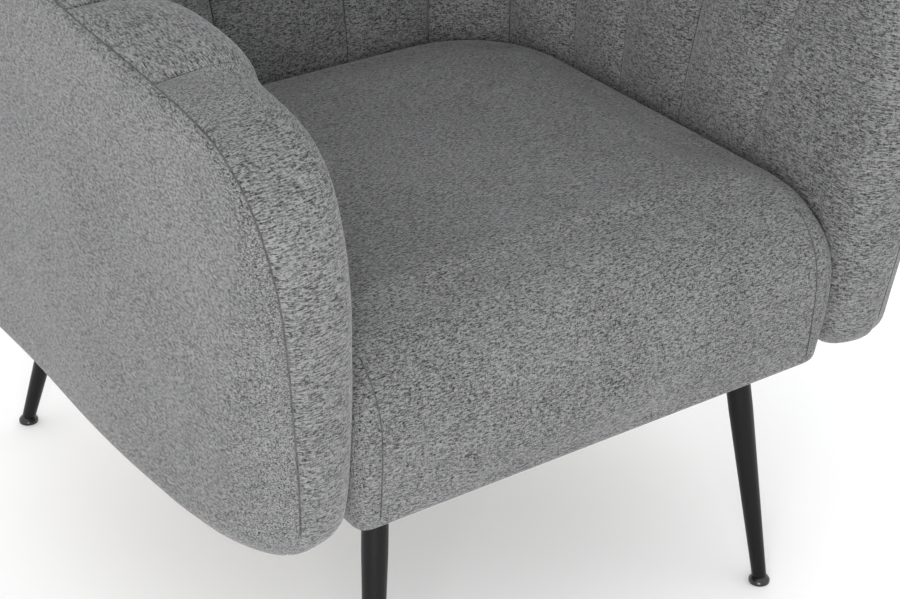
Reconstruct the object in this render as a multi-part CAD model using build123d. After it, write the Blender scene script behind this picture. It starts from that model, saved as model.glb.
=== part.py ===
from build123d import *
import math
import os

# An upholstered tub armchair on four splayed steel legs. Millimetres, +Z up, the front faces -Y,
# the origin is on the floor under the middle of the chair.

# Overall
UNDERSIDE = 270.0           # underside of the upholstery
CLOTH = 3.0                 # cover cloth with its wadding lining
SKIN = 8.0                  # outside panels: board with cloth on it
BORDER = 10.0               # padded strip round the arm fronts and the top rim
PAD = 35.0                  # thickness of one inside channel
REACH = 470.0               # how far the raw shell runs forward before it is trimmed

# Seat
SEAT_HALF = 267.0
SEAT_FRONT = -352.5
SEAT_REAR = 194.5
SEAT_TOP = 452.0
SEAT_CORNER = 112.0         # plan radius of the two rear corners
WATERFALL = 60.0            # radius of the front top edge

# Shell: plan of the inside face, as the seams between its channels, from the middle of the back to
# the arm front, at seat height and at the level RAKE_TOP. The left half is the mirror image.
SEAM_LEVEL = 445.0
RAKE_TOP = 830.0
SEAMS_LOW = [(76, 203), (180, 203), (255, 154), (277, 66), (277, -13), (277, -109), (277, -218), (277, -REACH)]
SEAMS_HIGH = [(92, 287), (218, 268), (298, 205), (320, 98), (320, -20), (320, -150), (320, -303), (320, -REACH)]

# Shell: plan of the outside face, as half width, rear face and corner radius at each level
OUTSIDE = {
    UNDERSIDE: (374.0, 356.0, 150.0),
    SEAM_LEVEL: (384.0, 366.0, 160.0),
    RAKE_TOP: (398.0, 402.0, 185.0),
}
CORNER_STEPS = 6
BACK_SPLIT = 205.0          # the outside back starts behind this plane
ZONE_Z = (200.0, 900.0)

# Shell: outline from the side, and the radius at each of its corners
ARM_FOOT = -359.0
ARM_TIP = (-420.0, 692.0)
SWEEP_POINTS = [(-130.0, 705.0), (30.0, 730.0), (250.0, 800.0), (450.0, 808.0)]
ARM_NOSE = 92.0
SWEEP = 170.0
BEYOND = 450.0              # further out than any face of the shell

# Seat frame
RAIL = 25.0
RAIL_TOP = 341.0
END_SETBACK = 9.0           # wadding between the cover and the front and rear rails
SIDE_SETBACK = 5.0          # the same at the side rails
FRONT_RAIL_TRIM = 8.0       # keeps the front rail out of the rounded corners
LEG_BLOCK = 62.0
DUST_PLY = 1.5
DUST_HEM = 8.0              # the dust cover stops this far inside the seat cover
FOAM_RISE = 12.0            # the foam starts this far above the rails, over the springs

# Shell frame: faces of each timber on the right-hand side, as (from, to)
BASE_BOARD_Z = (UNDERSIDE, 300.0)
ARM_BOARD_X = (316.0, 336.0)
ARM_BOARD_Y = (-300.0, 180.0)
ARM_POST_X = (340.0, 364.0)
ARM_POSTS_Y = [(-335.0, -275.0), (60.0, 120.0)]
ARM_RAIL_Y = (-335.0, 150.0)
ARM_RAIL_Z = (600.0, 650.0)
BACK_POST_X = (225.0, 260.0)
BACK_POST_Y = (305.0, 332.0)
BACK_RAIL_Y = (308.0, 332.0)
TOP_RAIL_Z = (695.0, 745.0)
LOWER_RAIL_Z = (320.0, 375.0)
BACK_BOARD_HALF = 262.0
BACK_BOARD_Y = (240.0, 330.0)
STRAP_HALF = 258.0
STRAP_LEVELS = [440.0, 510.0, 580.0, 650.0]
STRAP_WIDTH = 50.0
STRAP_PLY = 2.5

# Springs
SPRING_COUNT = 5
SPRING_PITCH = 70.0
SPRING_WIRE = 1.75
SPRING_HALF = 22.0
SPRING_RUN = 28.0
SPRING_CLEARANCE = 1.0      # above the rails
CLIP_HALF = 15.0
CLIP_EDGE = 6.0
CLIP_HEIGHT = 5.0
TOUCH = 0.1                 # gap left between a spring's end and its clip
BEND_SLACK = 0.6            # the bends are this much tighter than half the run

# Legs, given where their axes cross the underside and the floor
LEG_TOPS = {"front": (212.5, -291.0), "rear": (214.0, 312.0)}
LEG_FEET = {"front": (241.5, -324.5), "rear": (256.0, 396.6)}
LEG_RADIUS = 12.5
LEG_TIP_RADIUS = 7.5
LEG_WALL = 1.5
LEG_TAPER_Z = 208.0
LEG_TIP_Z = 9.0
LEG_OVERRUN = 120.0         # past the taper, before the tube is cut off at the plate
PLATE = 4.0
PLATE_SIDE = 60.0
PLATE_HOLES = 42.0

# Joining plates between the seat frame and the shell, and the wood screws
JOINER = 3.0
JOINER_LENGTH = 88.0
JOINER_WIDTH = 40.0
SIDE_JOINER_X = 292.0
SIDE_JOINERS_Y = [-180.0, 40.0]
REAR_JOINER_X = 70.0
REAR_JOINER_Y = 215.0
JOINER_HOLE_END = 8.0       # from the plate's end to its holes
JOINER_HOLES = 20.0         # between the two holes of a pair
LEG_SCREW = 28.0
JOINER_SCREW = 22.0
SCREW_HEAD_RADIUS = 4.6
SCREW_RADIUS = 2.5
SCREW_HEAD = 2.6

# Levelling glides
GLIDE_RADIUS = 11.0
GLIDE_HEIGHT = 8.4
GLIDE_RIM = 3.6
STUD_RADIUS = 3.95
STUD_BORE = 4.0
STUD_LENGTH = 30.0
STUD_HOLE = 60.0
BALL_RADIUS = 4.0
BALL_CLEARANCE = 0.05
BALL_Z = 5.2
INSERT_TOP_Z = 26.0
GLIDE_CHAMFER = 0.8
GLIDE_SHOULDER = 2.0        # the domed edge passes through a point this far in and down
GLIDE_FLAT = 6.2
THROAT_CLEARANCE = 0.6
THROAT = 20.0

SIDES = {"left": -1, "right": 1}
LEVELS = (UNDERSIDE, SEAM_LEVEL, RAKE_TOP)


def block(x0, x1, y0, y1, z0, z1):
    """A box given by its six faces."""
    middle = Pos((x0 + x1) / 2, (y0 + y1) / 2, (z0 + z1) / 2)
    return middle * Box(abs(x1 - x0), abs(y1 - y0), abs(z1 - z0))


def mirrored(x0, x1, y0, y1, z0, z1, side):
    """The same box on the left (-1) or the right (+1)."""
    return block(side * x0, side * x1, y0, y1, z0, z1)


def group(shapes):
    """Several separate solids in one node."""
    return Compound([solid for shape in shapes for solid in shape.solids()])


def rod(start, end, radius):
    """A round bar between two points."""
    run = Vector(*end) - Vector(*start)
    plane = Plane(origin=start, z_dir=run)
    return Solid.make_cylinder(radius, run.length, plane)


# ---------------------------------------------------------------- seat

def seat_block(inset, low):
    """The seat's form, shrunk by inset: a rounded plan under a side outline with a waterfall front."""
    front = SEAT_FRONT + inset
    rear = SEAT_REAR - inset
    top = SEAT_TOP - inset
    column = Pos(0, 0, low) * extrude(seat_plan(inset), top - low)
    outline = [(front, low), (front, top), (rear, top), (rear, low)]
    side_face = make_face(Polyline(*outline, close=True))
    nose = side_face.vertices().filter_by(lambda v: v.Y > low and v.X < 0)
    side_face = fillet(nose, WATERFALL - inset)
    prism = extrude(Plane.YZ * side_face, SEAT_HALF + 10, both=True)
    return column & prism


def seat_parts(screws):
    parts = {}
    rail_low = UNDERSIDE + DUST_PLY
    parts["seat_cover"] = seat_block(0, UNDERSIDE) - seat_block(CLOTH, UNDERSIDE)
    parts["seat_foam"] = seat_block(CLOTH, RAIL_TOP + FOAM_RISE)
    inner = SEAT_HALF - SIDE_SETBACK
    front = SEAT_FRONT + END_SETBACK
    rear = SEAT_REAR - END_SETBACK
    bend = SEAT_CORNER
    end = inner - FRONT_RAIL_TRIM
    parts["seat_front_rail"] = block(-end, end, front, front + RAIL, rail_low, RAIL_TOP)
    parts["seat_rear_rail"] = block(-inner + bend, inner - bend, rear - RAIL, rear, rail_low, RAIL_TOP)
    corner_rails = []
    leg_blocks = []
    long_rails = []
    for side in SIDES.values():
        long_rail = mirrored(inner - RAIL, inner, front + RAIL, rear - bend, rail_low, RAIL_TOP, side)
        long_rails.append(long_rail - screws)
        corner_rails.append(corner_rail(inner, rear, bend, rail_low, side))
        leg_block = mirrored(
            inner - RAIL - LEG_BLOCK, inner - RAIL, front + RAIL, front + RAIL + LEG_BLOCK, rail_low, RAIL_TOP, side)
        leg_blocks.append(leg_block - screws)
    parts["seat_rear_rail"] = parts["seat_rear_rail"] - screws
    parts["seat_side_rails"] = group(long_rails)
    parts["seat_corner_rails"] = group(corner_rails)
    parts["front_leg_blocks"] = group(leg_blocks)
    dust = Pos(0, 0, UNDERSIDE) * extrude(seat_plan(DUST_HEM), DUST_PLY)
    parts["dust_cover"] = dust - screws
    return parts


def seat_plan(inset):
    """The seat's plan outline, shrunk by inset."""
    half = SEAT_HALF - inset
    front = SEAT_FRONT + inset
    rear = SEAT_REAR - inset
    corners = [(-half, front), (half, front), (half, rear), (-half, rear)]
    plan = make_face(Polyline(*corners, close=True))
    return fillet(plan.vertices().filter_by(lambda v: v.Y > 0), SEAT_CORNER - inset)


def corner_rail(inner, rear, bend, low, side):
    """The slanting rail that joins a side rail to the rear rail."""
    points = [
        (side * inner, rear - bend),
        (side * (inner - bend), rear),
        (side * (inner - bend), rear - RAIL),
        (side * (inner - RAIL), rear - bend),
    ]
    face = make_face(Polyline(*points, close=True))
    return Pos(0, 0, low) * extrude(face, RAIL_TOP - low)


def sinuous_spring(x):
    """One zigzag seat spring, from the front rail's clip to the rear rail's."""
    first = SEAT_FRONT + END_SETBACK + RAIL + SPRING_WIRE + TOUCH
    last = SEAT_REAR - END_SETBACK - RAIL - SPRING_WIRE - TOUCH
    runs = round((last - first) / SPRING_RUN)
    step = (last - first) / runs
    points = []
    hand = 1
    for i in range(runs + 1):
        y = first + i * step
        points.append((x - hand * SPRING_HALF, y))
        points.append((x + hand * SPRING_HALF, y))
        hand = -hand
    path = FilletPolyline(*points, radius=step / 2 - BEND_SLACK)
    path = Pos(0, 0, RAIL_TOP + SPRING_WIRE + SPRING_CLEARANCE) * path
    start = Plane(origin=path @ 0, z_dir=path % 0)
    return sweep(start * Circle(SPRING_WIRE), path=path)


def spring_parts():
    springs = []
    clips = []
    front = SEAT_FRONT + END_SETBACK
    rear = SEAT_REAR - END_SETBACK
    top = RAIL_TOP + CLIP_HEIGHT
    for i in range(SPRING_COUNT):
        x = (i - (SPRING_COUNT - 1) / 2) * SPRING_PITCH
        springs.append(sinuous_spring(x))
        clips.append(block(x - CLIP_HALF, x + CLIP_HALF, front + CLIP_EDGE, front + RAIL, RAIL_TOP, top))
        clips.append(block(x - CLIP_HALF, x + CLIP_HALF, rear - RAIL, rear - CLIP_EDGE, RAIL_TOP, top))
    return {"seat_springs": Compound(springs), "spring_clips": Compound(clips)}


# ---------------------------------------------------------------- shell

def blend_points(low, high, z):
    """Seam points at height z: upright below SEAM_LEVEL, raked above it."""
    share = max(0.0, (z - SEAM_LEVEL) / (RAKE_TOP - SEAM_LEVEL))
    return [(a[0] + (b[0] - a[0]) * share, a[1] + (b[1] - a[1]) * share) for a, b in zip(low, high)]


def inside_points(z):
    """All the seam points of the inside face, from the left arm front round to the right."""
    right = blend_points(SEAMS_LOW, SEAMS_HIGH, z)
    left = [(-x, y) for x, y in reversed(right)]
    return left + right


def offset_points(points, distance):
    """The same open outline moved outwards, with mitred corners."""
    result = []
    last = len(points) - 1
    for i, (x, y) in enumerate(points):
        before = points[max(i - 1, 0)]
        after = points[min(i + 1, last)]
        normals = []
        for a, b in ((before, (x, y)), ((x, y), after)):
            length = math.hypot(b[0] - a[0], b[1] - a[1])
            if length > 0:
                normals.append((-(b[1] - a[1]) / length, (b[0] - a[0]) / length))
        nx = sum(n[0] for n in normals) / len(normals)
        ny = sum(n[1] for n in normals) / len(normals)
        scale = distance / (nx * nx + ny * ny)
        result.append((x + nx * scale, y + ny * scale))
    return result


def outside_points(z, inset):
    """The outside face at height z, moved inwards by inset, from the left arm front to the right."""
    half, rear, corner = OUTSIDE[z]
    half -= inset
    rear -= inset
    corner -= inset
    right = []
    for i in range(CORNER_STEPS + 1):
        angle = math.radians(90 - 90 * i / CORNER_STEPS)
        right.append((half - corner + corner * math.cos(angle), rear - corner + corner * math.sin(angle)))
    right.append((half, -REACH))
    left = [(-x, y) for x, y in reversed(right)]
    return left + right


def ring(inner, outer):
    """A wall between two open outlines, lofted straight through the levels."""
    wires = []
    for z in LEVELS:
        points = inner(z) + list(reversed(outer(z)))
        wires.append(Wire.make_polygon([Vector(x, y, z) for x, y in points], close=True))
    return Solid.make_loft(wires, ruled=True)


def side_outline(inset):
    """The shell seen from the side, extruded across the whole chair."""
    points = [(ARM_FOOT + inset, UNDERSIDE), (ARM_TIP[0] + inset, ARM_TIP[1] - inset)]
    points += [(y, z - inset) for y, z in SWEEP_POINTS]
    points.append((BEYOND, UNDERSIDE))
    face = make_face(Polyline(*points, close=True))
    nose, _, dip, crest = points[1:5]
    for corner, radius in ((nose, ARM_NOSE - inset), (dip, SWEEP), (crest, SWEEP)):
        vertex = face.vertices().sort_by_distance(corner)[0]
        face = fillet(vertex, radius)
    return extrude(Plane.YZ * face, BEYOND, both=True)


def channel_pads(trim):
    """The inside channels: one closed wedge between each two seams."""
    pads = {}
    count = len(inside_points(UNDERSIDE)) - 1
    for i in range(count):
        wires = []
        for z in LEVELS:
            face = inside_points(z)
            back = offset_points(face, PAD)
            corners = [face[i], face[i + 1], back[i + 1], back[i]]
            wires.append(Wire.make_polygon([Vector(x, y, z) for x, y in corners], close=True))
        pad = Solid.make_loft(wires, ruled=True) & trim
        if i == 0:
            name = "arm_front_pad_left"
        elif i == count - 1:
            name = "arm_front_pad_right"
        else:
            name = "channel_pad_%02d" % i
        pads[name] = pad
    return pads


def shell_zones():
    """Boxes that part the shell into its two arms and its back."""
    low, high = ZONE_Z
    return {
        "left": block(-BEYOND, 0, -BEYOND, BACK_SPLIT, low, high),
        "right": block(0, BEYOND, -BEYOND, BACK_SPLIT, low, high),
        "back": block(-BEYOND, BEYOND, BACK_SPLIT, BEYOND, low, high),
    }


def arm_timbers(screws):
    """The posts, top rail and base board of each arm."""
    parts = {}
    top_rails = []
    boards = []
    for name, side in SIDES.items():
        posts = [mirrored(*ARM_POST_X, *y, BASE_BOARD_Z[1], ARM_RAIL_Z[0], side) for y in ARM_POSTS_Y]
        parts["arm_posts_" + name] = group(posts)
        top_rails.append(mirrored(*ARM_POST_X, *ARM_RAIL_Y, *ARM_RAIL_Z, side))
        boards.append(mirrored(*ARM_BOARD_X, *ARM_BOARD_Y, *BASE_BOARD_Z, side) - screws)
    parts["arm_top_rails"] = group(top_rails)
    parts["arm_base_boards"] = group(boards)
    return parts


def back_timbers(screws):
    """The back's two posts, two rails and base board, and the webbing straps across them."""
    inner = BACK_POST_X[0]
    straps = [block(-STRAP_HALF, STRAP_HALF, BACK_POST_Y[0] - STRAP_PLY, BACK_POST_Y[0], z, z + STRAP_WIDTH)
              for z in STRAP_LEVELS]
    posts = [mirrored(*BACK_POST_X, *BACK_POST_Y, BASE_BOARD_Z[1], TOP_RAIL_Z[1], side) for side in SIDES.values()]
    board = block(-BACK_BOARD_HALF, BACK_BOARD_HALF, *BACK_BOARD_Y, *BASE_BOARD_Z)
    return {
        "back_posts": group(posts),
        "back_top_rail": block(-inner, inner, *BACK_RAIL_Y, *TOP_RAIL_Z),
        "back_lower_rail": block(-inner, inner, *BACK_RAIL_Y, *LOWER_RAIL_Z),
        "back_base_board": board - screws,
        "back_webbing": Compound(straps),
    }


def shell_parts(screws):
    trim = side_outline(0)
    core_trim = side_outline(BORDER)
    middle = lambda z: offset_points(inside_points(z), PAD)
    body = ring(middle, lambda z: outside_points(z, SKIN))
    skin = ring(lambda z: outside_points(z, SKIN), lambda z: outside_points(z, 0)) & trim
    core = body & core_trim
    border = (body & trim) - core_trim
    parts = channel_pads(trim)
    timber = {**arm_timbers(screws), **back_timbers(screws)}
    for name, zone in shell_zones().items():
        parts["outside_panel_" + name] = skin & zone
        parts["border_" + name] = border & zone
        filling = (core & zone) - screws
        for piece in timber.values():
            filling = filling - piece
        parts["filling_" + name] = filling
    parts.update(timber)
    return parts


# ---------------------------------------------------------------- legs and fasteners

def wood_screw(x, y, head_z, length):
    """A countersunk wood screw driven upwards, its head flush with head_z."""
    head = Pos(x, y, head_z) * Solid.make_cone(SCREW_HEAD_RADIUS, SCREW_RADIUS, SCREW_HEAD)
    shank = Pos(x, y, head_z + SCREW_HEAD) * Solid.make_cylinder(SCREW_RADIUS, length - SCREW_HEAD)
    return head + shank


def leg_screw_places():
    """The four screw places of each leg plate."""
    half = PLATE_HOLES / 2
    corners = [(-half, -half), (-half, half), (half, -half), (half, half)]
    return [(side * x + dx, y + dy) for x, y in LEG_TOPS.values() for side in SIDES.values() for dx, dy in corners]


def joiner_places():
    """Joining plates between the seat frame and the shell: centre and size of each."""
    places = []
    for side in SIDES.values():
        for y in SIDE_JOINERS_Y:
            places.append((side * SIDE_JOINER_X, y, JOINER_LENGTH, JOINER_WIDTH))
        places.append((side * REAR_JOINER_X, REAR_JOINER_Y, JOINER_WIDTH, JOINER_LENGTH))
    return places


def joiner_screw_places():
    """The four screw places of each joining plate."""
    along = JOINER_LENGTH / 2 - JOINER_HOLE_END
    across = JOINER_HOLES / 2
    places = []
    for x, y, width, depth in joiner_places():
        dx, dy = (along, across) if width > depth else (across, along)
        places += [(x - dx, y - dy), (x - dx, y + dy), (x + dx, y - dy), (x + dx, y + dy)]
    return places


def fasteners():
    """The wood screws, the joining plates and the leg plates."""
    screws = group(
        [wood_screw(x, y, UNDERSIDE - PLATE, LEG_SCREW) for x, y in leg_screw_places()]
        + [wood_screw(x, y, UNDERSIDE - JOINER, JOINER_SCREW) for x, y in joiner_screw_places()])
    joiners = [block(x - w / 2, x + w / 2, y - d / 2, y + d / 2, UNDERSIDE - JOINER, UNDERSIDE) - screws
               for x, y, w, d in joiner_places()]
    half = PLATE_SIDE / 2
    plates = [block(side * x - half, side * x + half, y - half, y + half, UNDERSIDE - PLATE, UNDERSIDE) - screws
              for x, y in LEG_TOPS.values() for side in SIDES.values()]
    return {"wood_screws": screws, "joining_plates": group(joiners), "leg_plates": group(plates)}


def leg_axis(end, side):
    """Where the leg's axis meets the floor, and its direction upwards."""
    top = Vector(side * LEG_TOPS[end][0], LEG_TOPS[end][1], UNDERSIDE)
    foot = Vector(side * LEG_FEET[end][0], LEG_FEET[end][1], 0)
    return foot, (top - foot).normalized()


def tapered_bar(foot, direction, reduce):
    """The leg's outer form, or its bore when reduce is the wall thickness, along its axis."""
    rise = direction.Z
    plane = Plane(origin=foot, z_dir=direction)
    taper_end = LEG_TAPER_Z / rise
    slope = (LEG_RADIUS - LEG_TIP_RADIUS) / (LEG_TAPER_Z - LEG_TIP_Z) * rise
    start_radius = LEG_TIP_RADIUS - slope * LEG_TIP_Z / rise - reduce
    cone = Solid.make_cone(start_radius, LEG_RADIUS - reduce, taper_end, plane)
    upper = Plane(origin=foot + direction * taper_end, z_dir=direction)
    tube = Solid.make_cylinder(LEG_RADIUS - reduce, LEG_OVERRUN, upper)
    return cone + tube


def slab(z0, z1):
    """Everything between two levels."""
    return block(-BEYOND, BEYOND, -BEYOND, BEYOND, z0, z1)


def leg_parts():
    parts = {}
    inserts = []
    for end in LEG_TOPS:
        for name, side in SIDES.items():
            label = end + "_" + name
            foot, up = leg_axis(end, side)
            bore = tapered_bar(foot, up, LEG_WALL)
            tube = tapered_bar(foot, up, 0) - bore
            stud_hole = rod(tuple(foot), tuple(foot + up * STUD_HOLE), STUD_BORE)
            parts["leg_" + label] = tube & slab(LEG_TIP_Z, UNDERSIDE - PLATE)
            inserts.append((bore & slab(LEG_TIP_Z, INSERT_TOP_Z)) - stud_hole)
            parts.update(glide(label, foot, up))
    parts["leg_inserts"] = group(inserts)
    return parts


def glide(label, foot, up):
    """A levelling glide: a stud with a ball end, and a foot that lies flat on the floor."""
    ball_centre = foot + up * (BALL_Z / up.Z)
    ball = Pos(*ball_centre) * Sphere(BALL_RADIUS)
    stud = rod(tuple(ball_centre), tuple(ball_centre + up * STUD_LENGTH), STUD_RADIUS)
    with BuildPart() as dome:
        with BuildSketch(Plane.XZ):
            with BuildLine():
                Polyline((0, GLIDE_HEIGHT), (0, 0), (GLIDE_RADIUS - GLIDE_CHAMFER, 0),
                         (GLIDE_RADIUS, GLIDE_CHAMFER), (GLIDE_RADIUS, GLIDE_RIM))
                ThreePointArc((GLIDE_RADIUS, GLIDE_RIM),
                              (GLIDE_RADIUS - GLIDE_SHOULDER, GLIDE_HEIGHT - GLIDE_SHOULDER),
                              (GLIDE_FLAT, GLIDE_HEIGHT))
                Line((GLIDE_FLAT, GLIDE_HEIGHT), (0, GLIDE_HEIGHT))
            make_face()
        revolve(axis=Axis.Z)
    base = Pos(foot.X + up.X * BALL_Z / up.Z, foot.Y + up.Y * BALL_Z / up.Z, 0) * dome.part
    socket = Pos(*ball_centre) * Sphere(BALL_RADIUS + BALL_CLEARANCE)
    throat = rod(tuple(ball_centre), tuple(ball_centre + up * THROAT), STUD_RADIUS + THROAT_CLEARANCE)
    return {"glide_stud_" + label: ball + stud, "glide_foot_" + label: base - socket - throat}


# ---------------------------------------------------------------- write the parts

def main():
    os.makedirs("parts", exist_ok=True)
    hardware = fasteners()
    screws = hardware["wood_screws"]
    parts = {}
    parts.update(seat_parts(screws))
    parts.update(spring_parts())
    parts.update(shell_parts(screws))
    parts.update(leg_parts())
    parts.update(hardware)
    for name, shape in parts.items():
        solids = shape.solids()
        whole = solids[0] if len(solids) == 1 else Compound(list(solids))
        export_step(whole, "parts/" + name + ".step")
    print(len(parts), "nodes")


main()
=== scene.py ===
import math

import bpy
import numpy as np
from mathutils import Matrix, Vector, noise
from mathutils.bvhtree import BVHTree


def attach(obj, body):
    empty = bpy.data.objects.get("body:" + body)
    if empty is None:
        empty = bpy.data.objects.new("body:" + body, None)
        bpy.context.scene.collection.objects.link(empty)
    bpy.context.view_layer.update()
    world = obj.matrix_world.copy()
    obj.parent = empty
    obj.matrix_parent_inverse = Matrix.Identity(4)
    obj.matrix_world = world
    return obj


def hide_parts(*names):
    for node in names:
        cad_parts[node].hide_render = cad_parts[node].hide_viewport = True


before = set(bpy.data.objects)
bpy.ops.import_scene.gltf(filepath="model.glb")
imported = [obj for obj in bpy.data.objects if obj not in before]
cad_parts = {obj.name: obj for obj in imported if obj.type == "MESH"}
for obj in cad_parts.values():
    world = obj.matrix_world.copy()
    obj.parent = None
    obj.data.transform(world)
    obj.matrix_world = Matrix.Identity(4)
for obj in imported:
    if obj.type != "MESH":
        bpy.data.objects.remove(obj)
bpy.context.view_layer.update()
MM = 0.001

# ------------------------------------------------------------------ camera, light, floor

TARGET = Vector((0.0, -0.1007, 0.3100))
DISTANCE = 2.2049
AZIMUTH, ELEVATION, ROLL, LENS = -34.74, 28.95, 0.26, 88.32
WORLD, KEY, FILL = 1.22, 60.0, 3.0
KEY_FROM, FILL_FROM = (-36, 9), (35, 20)
FLOOR_HALF = 6.0


def make_camera():
    a, e, r = (math.radians(v) for v in (AZIMUTH, ELEVATION, ROLL))
    back = Vector((math.sin(a) * math.cos(e), -math.cos(a) * math.cos(e), math.sin(e)))
    right = Vector((math.cos(a), math.sin(a), 0.0))
    up = back.cross(right)
    right, up = right * math.cos(r) + up * math.sin(r), up * math.cos(r) - right * math.sin(r)
    data = bpy.data.cameras.new("camera")
    data.lens = LENS
    data.sensor_width = 36.0
    data.clip_start, data.clip_end = 0.05, 50.0
    cam = bpy.data.objects.new("camera", data)
    bpy.context.scene.collection.objects.link(cam)
    turn = Matrix((right, up, back)).transposed().to_4x4()
    cam.matrix_world = Matrix.Translation(TARGET + back * DISTANCE) @ turn
    bpy.context.scene.camera = cam


def area_light(name, azimuth, elevation, distance, size, power, colour=(1, 1, 1), aim=(0, 0, 0.4)):
    a, e = math.radians(azimuth), math.radians(elevation)
    back = Vector((math.sin(a) * math.cos(e), -math.cos(a) * math.cos(e), math.sin(e)))
    data = bpy.data.lights.new(name, "AREA")
    data.shape = "DISK"
    data.size = size
    data.energy = power
    data.color = colour
    lamp = bpy.data.objects.new(name, data)
    bpy.context.scene.collection.objects.link(lamp)
    lamp.location = Vector(aim) + back * distance
    lamp.rotation_mode = "QUATERNION"
    lamp.rotation_quaternion = (-back).to_track_quat("-Z", "Y")


def make_studio():
    world = bpy.data.worlds.new("studio")
    world.use_nodes = True
    background = world.node_tree.nodes["Background"]
    background.inputs["Color"].default_value = (0.985, 0.99, 1.0, 1)
    background.inputs["Strength"].default_value = WORLD
    bpy.context.scene.world = world
    bpy.context.scene.view_settings.view_transform = "Standard"
    area_light("key", KEY_FROM[0], KEY_FROM[1], 3.0, 1.3, KEY, (1.0, 0.995, 0.985))
    area_light("fill", FILL_FROM[0], FILL_FROM[1], 3.4, 2.0, FILL)
    mesh = bpy.data.meshes.new("floor")
    corners = [(x * FLOOR_HALF, y * FLOOR_HALF, 0) for x, y in ((-1, -1), (1, -1), (1, 1), (-1, 1))]
    mesh.from_pydata(corners, [], [(0, 1, 2, 3)])
    floor = bpy.data.objects.new("floor", mesh)
    bpy.context.scene.collection.objects.link(floor)
    mat = new_material("floor_paint", 0.9)
    mat.node_tree.nodes["Principled BSDF"].inputs["Base Color"].default_value = (0.93, 0.93, 0.93, 1)
    mesh.materials.append(mat)


# ------------------------------------------------------------------ materials

GREY_DARK, GREY_LIGHT = (0.010, 0.010, 0.0105), (0.198, 0.199, 0.201)
# How fine the weave is, in noise cells a metre: along and across the slubs, and along and across the picks
SLUB_ALONG, SLUB_ACROSS = 230.0, 820.0
PICK_ALONG, PICK_ACROSS = 480.0, 1250.0

def new_material(name, roughness, metallic=0.0):
    mat = bpy.data.materials.new(name)
    mat.use_nodes = True
    shader = mat.node_tree.nodes["Principled BSDF"]
    shader.inputs["Roughness"].default_value = roughness
    shader.inputs["Metallic"].default_value = metallic
    return mat


class Graph:
    """Short names for the node calls that the materials below repeat."""

    def __init__(self, mat):
        self.tree = mat.node_tree
        self.shader = self.tree.nodes["Principled BSDF"]

    def add(self, kind, **settings):
        node = self.tree.nodes.new(kind)
        for key, value in settings.items():
            setattr(node, key, value)
        return node

    def link(self, a, b):
        self.tree.links.new(a, b)

    def coords(self, uv, scale):
        source = self.add("ShaderNodeTexCoord")
        mapping = self.add("ShaderNodeMapping")
        mapping.inputs["Scale"].default_value = scale
        mapping.inputs["Location"].default_value = (0.13, 0.29, 0.37)
        self.link(source.outputs["UV" if uv else "Object"], mapping.inputs["Vector"])
        return mapping.outputs["Vector"]

    def noise(self, vector, scale=1.0, detail=2.0, rough=0.5):
        node = self.add("ShaderNodeTexNoise")
        node.inputs["Scale"].default_value = scale
        node.inputs["Detail"].default_value = detail
        node.inputs["Roughness"].default_value = rough
        self.link(vector, node.inputs["Vector"])
        return node.outputs["Fac"]

    def math(self, operation, a, b):
        node = self.add("ShaderNodeMath", operation=operation)
        for socket, value in zip(node.inputs, (a, b)):
            if isinstance(value, (int, float)):
                socket.default_value = value
            else:
                self.link(value, socket)
        return node.outputs[0]

    def ramp(self, value, stops):
        node = self.add("ShaderNodeValToRGB")
        ramp = node.color_ramp
        ramp.elements[0].position, ramp.elements[1].position = stops[0][0], stops[-1][0]
        for position, _ in stops[1:-1]:
            ramp.elements.new(position)
        for element, (_, colour) in zip(ramp.elements, stops):
            element.color = (*colour, 1)
        self.link(value, node.inputs["Fac"])
        return node.outputs["Color"]

    def bump(self, height, distance, strength=1.0):
        node = self.add("ShaderNodeBump")
        node.inputs["Distance"].default_value = distance
        node.inputs["Strength"].default_value = strength
        self.link(height, node.inputs["Height"])
        self.link(node.outputs["Normal"], self.shader.inputs["Normal"])


def weave_material(name, uv, long_axis, dark, light, bump=0.0009):
    """Grey melange upholstery cloth. The slubs run along long_axis, 0 for X or U and 1 for Y or V."""
    mat = new_material(name, 0.92)
    g = Graph(mat)

    def stretched(along, across):
        return (along, across, across) if long_axis == 0 else (across, along, across)
    slub_scale = stretched(SLUB_ALONG, SLUB_ACROSS)
    weft_scale = stretched(SLUB_ACROSS, SLUB_ALONG * 1.6)
    pick_scale = stretched(PICK_ALONG, PICK_ACROSS)
    slub = g.noise(g.coords(uv, slub_scale), 1.0, 2.0, 0.6)
    weft = g.noise(g.coords(uv, weft_scale), 1.0, 1.0, 0.5)
    pick = g.noise(g.coords(uv, pick_scale), 1.0, 2.0, 0.7)
    cloud = g.noise(g.coords(uv, (9.0, 9.0, 9.0)), 1.0, 3.0, 0.6)
    total = g.math("ADD", g.math("MULTIPLY", slub, 0.48), g.math("MULTIPLY", weft, 0.2))
    total = g.math("ADD", total, g.math("MULTIPLY", pick, 0.32))
    shade = g.math("ADD", total, g.math("MULTIPLY", cloud, 0.06))
    mid = tuple((a + b) / 2 for a, b in zip(dark, light))
    stops = [(0.425, dark), (0.52, mid), (0.615, light)]
    g.link(g.ramp(shade, stops), g.shader.inputs["Base Color"])
    g.shader.inputs["Sheen Weight"].default_value = 0.18
    g.shader.inputs["Sheen Roughness"].default_value = 0.45
    g.shader.inputs["Specular IOR Level"].default_value = 0.2
    g.bump(total, bump, 1.0)
    return mat


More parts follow.
